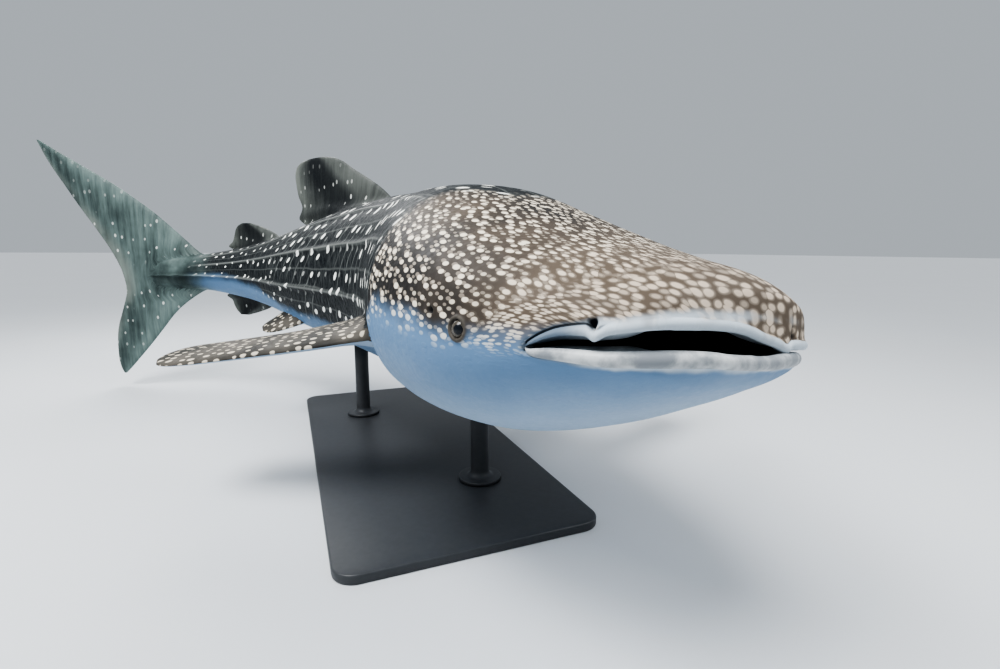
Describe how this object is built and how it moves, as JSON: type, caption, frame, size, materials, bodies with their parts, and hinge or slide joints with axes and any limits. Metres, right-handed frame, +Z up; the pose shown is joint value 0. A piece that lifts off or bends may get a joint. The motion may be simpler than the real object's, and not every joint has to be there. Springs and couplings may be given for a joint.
{
  "type": "whale shark display model",
  "caption": "Still, life-size whale shark, bent as it swims with its mouth slightly open, held over the floor by rods on a flat display base.",
  "frame": {"origin": "middle of the underside of the stand's base, on the floor", "axes": "+Z up, +X towards the head, -Y towards the animal's right side"},
  "size_m": [4.5223, 3.9677, 1.985],
  "materials": {
    "skin": "satin wet-looking skin, dark slate with pale spots, bars and ridge lines, pale below",
    "lips": "satin pale grey skin, mottled on the lip",
    "fin": "satin skin, grey with pale spots and streaks, paler at the edges",
    "eye": "glossy wet eye, dark pupil in a grey-brown iris",
    "stand": "satin dark paint, plain"
  },
  "bodies": {
    "root": {"head": "skin", "gill_region": "skin", "trunk_front": "skin", "trunk_rear": "skin", "tail_stock": "skin", "lower_jaw": "lips", "dorsal_fin_first": "fin", "dorsal_fin_second": "fin", "anal_fin": "fin", "caudal_fin_upper": "fin", "caudal_fin_lower": "fin", "pectoral_fin_right": "fin", "pectoral_fin_left": "fin", "pelvic_fin_right": "fin", "pelvic_fin_left": "fin", "eye_right": "eye", "eye_left": "eye", "stand_base": "stand", "stand_rod_front": "stand", "stand_rod_rear": "stand"}
  },
  "joints": []
}
